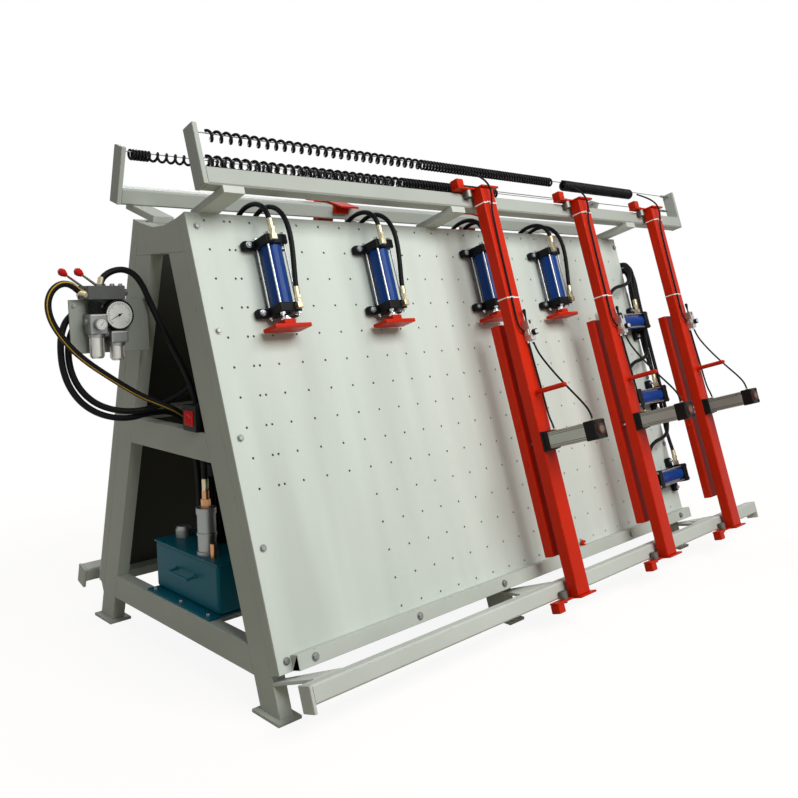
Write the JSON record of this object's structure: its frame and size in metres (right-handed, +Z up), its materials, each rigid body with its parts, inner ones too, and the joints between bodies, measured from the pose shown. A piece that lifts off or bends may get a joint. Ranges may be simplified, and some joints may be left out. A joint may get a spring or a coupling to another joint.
{
  "type": "frame assembly press",
  "caption": "Two-sided upright press for gluing frames: sloping boards with hydraulic cylinders on two edges and rolling posts with air-driven clamp bars.",
  "frame": {"origin": "on the floor, midway along the machine from the valve levers' left-hand knob to the right-hand end of the rails, and midway between the two boards", "axes": "+X along the machine towards the side cylinders, -Y out of the front, +Z up"},
  "size_m": [3.3649, 1.8916, 1.8541],
  "materials": {
    "stand_paint": "satin light grey paint",
    "board_paint": "satin light grey paint",
    "rail_paint": "satin light grey paint",
    "zinc_steel": "zinc plated",
    "black_iron": "black, dull",
    "blue_paint": "gloss blue paint",
    "plated_steel": "yellow-zinc plated",
    "hose_rubber": "matt black rubber",
    "spiral_hose": "smooth black hose",
    "grey_paint": "satin grey paint",
    "valve_iron": "bare dark casting",
    "lever_red": "steel lever with red knob",
    "gauge_steel": "steel case with pale dial",
    "service_body": "cast light metal",
    "black_knob": "matt black",
    "switch_black": "matt black",
    "switch_red": "gloss red",
    "teal_paint": "gloss teal paint",
    "motor_body": "painted light alloy",
    "block_steel": "dark bronze finish",
    "ram_red": "bright rod with red pad",
    "post_red": "gloss red paint",
    "air_cylinder": "clear anodised profile",
    "hand_lever": "matt black",
    "clamp_bar": "gloss red paint"
  },
  "bodies": {
    "frame": {"left_end_frame": "stand_paint", "right_end_frame": "stand_paint", "inner_frame": "stand_paint", "rail_brackets": "stand_paint", "front_board": "board_paint", "rear_board": "board_paint", "ledge_bars": "board_paint", "front_bottom_rail": "rail_paint", "rear_bottom_rail": "rail_paint", "front_top_rail": "rail_paint", "rear_top_rail": "rail_paint", "board_bolts": "zinc_steel", "hose_ropes": "zinc_steel", "cylinder_heads": "black_iron", "cylinder_barrels": "blue_paint", "hose_fittings": "plated_steel", "hydraulic_hoses": "hose_rubber", "spiral_hoses": "spiral_hose", "control_plate": "grey_paint", "directional_valve": "valve_iron", "pressure_gauge": "gauge_steel", "air_service_unit": "service_body", "switch_box": "switch_black", "oil_tank": "teal_paint", "pump_motor": "motor_body", "distributor_block": "block_steel"},
    "ram_front_1": {"front_ram_1": "ram_red"},
    "ram_front_2": {"front_ram_2": "ram_red"},
    "ram_front_3": {"front_ram_3": "ram_red"},
    "ram_front_4": {"front_ram_4": "ram_red"},
    "ram_front_5": {"front_ram_5": "ram_red"},
    "ram_front_6": {"front_ram_6": "ram_red"},
    "ram_front_7": {"front_ram_7": "ram_red"},
    "rams_rear_top": {"rear_top_rams": "ram_red"},
    "rams_rear_side": {"rear_side_rams": "ram_red"},
    "post_front_1": {"front_post_1": "post_red", "front_air_cylinder_1": "air_cylinder", "front_post_hoses_1": "hose_rubber"},
    "lever_front_1": {"front_hand_lever_1": "hand_lever"},
    "clamp_front_1": {"front_clamp_bar_1": "clamp_bar"},
    "post_front_2": {"front_post_2": "post_red", "front_air_cylinder_2": "air_cylinder", "front_post_hoses_2": "hose_rubber"},
    "lever_front_2": {"front_hand_lever_2": "hand_lever"},
    "clamp_front_2": {"front_clamp_bar_2": "clamp_bar"},
    "post_front_3": {"front_post_3": "post_red", "front_air_cylinder_3": "air_cylinder", "front_post_hoses_3": "hose_rubber"},
    "lever_front_3": {"front_hand_lever_3": "hand_lever"},
    "clamp_front_3": {"front_clamp_bar_3": "clamp_bar"},
    "post_rear_1": {"rear_post_1": "post_red"},
    "lever_rear_1": {"rear_hand_lever_1": "hand_lever"},
    "clamp_rear_1": {"rear_clamp_bar_1": "clamp_bar"},
    "post_rear_2": {"rear_post_2": "post_red"},
    "lever_rear_2": {"rear_hand_lever_2": "hand_lever"},
    "clamp_rear_2": {"rear_clamp_bar_2": "clamp_bar"},
    "spool_lever_1": {"valve_lever_1": "lever_red"},
    "spool_lever_2": {"valve_lever_2": "lever_red"},
    "regulator": {"regulator_knob": "black_knob"},
    "rocker": {"switch_rocker": "switch_red"}
  },
  "joints": [
    {"name": "ram_front_1_slide", "type": "slide", "parent": "frame", "child": "ram_front_1", "axis": [0, -0.3024, -0.9532], "range_m": [0, 0.15]},
    {"name": "ram_front_2_slide", "type": "slide", "parent": "frame", "child": "ram_front_2", "axis": [0, -0.3024, -0.9532], "range_m": [0, 0.15]},
    {"name": "ram_front_3_slide", "type": "slide", "parent": "frame", "child": "ram_front_3", "axis": [0, -0.3024, -0.9532], "range_m": [0, 0.15]},
    {"name": "ram_front_4_slide", "type": "slide", "parent": "frame", "child": "ram_front_4", "axis": [0, -0.3024, -0.9532], "range_m": [0, 0.15]},
    {"name": "ram_front_5_slide", "type": "slide", "parent": "frame", "child": "ram_front_5", "axis": [1, 0, 0], "range_m": [-0.15, 0]},
    {"name": "ram_front_6_slide", "type": "slide", "parent": "frame", "child": "ram_front_6", "axis": [1, 0, 0], "range_m": [-0.15, 0]},
    {"name": "ram_front_7_slide", "type": "slide", "parent": "frame", "child": "ram_front_7", "axis": [1, 0, 0], "range_m": [-0.15, 0]},
    {"name": "rams_rear_top_slide", "type": "slide", "parent": "frame", "child": "rams_rear_top", "axis": [0, 0.3024, -0.9532], "range_m": [0, 0.15]},
    {"name": "rams_rear_side_slide", "type": "slide", "parent": "frame", "child": "rams_rear_side", "axis": [1, 0, 0], "range_m": [-0.15, 0]},
    {"name": "post_front_1_slide", "type": "slide", "parent": "frame", "child": "post_front_1", "axis": [1, 0, 0], "range_m": [-1.1, 0.4]},
    {"name": "clamp_front_1_slide", "type": "slide", "parent": "post_front_1", "child": "clamp_front_1", "axis": [0, 0.9532, -0.3024], "range_m": [0, 0.09]},
    {"name": "lever_front_1_hinge", "type": "hinge", "parent": "post_front_1", "child": "lever_front_1", "pos_m": [-0.051, -0.56507, 1.19205], "axis": [1, 0, 0], "range_deg": [-10, 20]},
    {"name": "post_front_2_slide", "type": "slide", "parent": "frame", "child": "post_front_2", "axis": [1, 0, 0], "range_m": [-0.44, 0.15]},
    {"name": "clamp_front_2_slide", "type": "slide", "parent": "post_front_2", "child": "clamp_front_2", "axis": [0, 0.9532, -0.3024], "range_m": [0, 0.09]},
    {"name": "lever_front_2_hinge", "type": "hinge", "parent": "post_front_2", "child": "lever_front_2", "pos_m": [0.639, -0.56507, 1.19205], "axis": [1, 0, 0], "range_deg": [-10, 20]},
    {"name": "post_front_3_slide", "type": "slide", "parent": "frame", "child": "post_front_3", "axis": [1, 0, 0], "range_m": [-0.4, 0.25]},
    {"name": "clamp_front_3_slide", "type": "slide", "parent": "post_front_3", "child": "clamp_front_3", "axis": [0, 0.9532, -0.3024], "range_m": [0, 0.09]},
    {"name": "lever_front_3_hinge", "type": "hinge", "parent": "post_front_3", "child": "lever_front_3", "pos_m": [1.294, -0.56507, 1.19205], "axis": [1, 0, 0], "range_deg": [-10, 20]},
    {"name": "post_rear_1_slide", "type": "slide", "parent": "frame", "child": "post_rear_1", "axis": [1, 0, 0], "range_m": [-0.8, 0.15]},
    {"name": "clamp_rear_1_slide", "type": "slide", "parent": "post_rear_1", "child": "clamp_rear_1", "axis": [0, -0.9532, -0.3024], "range_m": [0, 0.09]},
    {"name": "lever_rear_1_hinge", "type": "hinge", "parent": "post_rear_1", "child": "lever_rear_1", "pos_m": [-0.306, 0.56507, 1.19205], "axis": [1, 0, 0], "range_deg": [-20, 10]},
    {"name": "post_rear_2_slide", "type": "slide", "parent": "frame", "child": "post_rear_2", "axis": [1, 0, 0], "range_m": [-0.3, 0.1]},
    {"name": "clamp_rear_2_slide", "type": "slide", "parent": "post_rear_2", "child": "clamp_rear_2", "axis": [0, -0.9532, -0.3024], "range_m": [0, 0.09]},
    {"name": "lever_rear_2_hinge", "type": "hinge", "parent": "post_rear_2", "child": "lever_rear_2", "pos_m": [0.674, 0.56507, 1.19205], "axis": [1, 0, 0], "range_deg": [-20, 10]},
    {"name": "spool_lever_1_hinge", "type": "hinge", "parent": "frame", "child": "spool_lever_1", "pos_m": [-1.525, 0.081, 1.341], "axis": [0, 1, 0], "range_deg": [-15, 15]},
    {"name": "spool_lever_2_hinge", "type": "hinge", "parent": "frame", "child": "spool_lever_2", "pos_m": [-1.56, 0.125, 1.341], "axis": [0, 1, 0], "range_deg": [-15, 15]},
    {"name": "regulator_turn", "type": "hinge", "parent": "frame", "child": "regulator", "pos_m": [-1.555, 0.07, 1.278], "axis": [0, 0, 1], "range_deg": [-150, 150]},
    {"name": "rocker_tilt", "type": "hinge", "parent": "frame", "child": "rocker", "pos_m": [-1.3618, -0.17704, 0.91], "axis": [0, 1, 0], "range_deg": [-8, 8]}
  ]
}
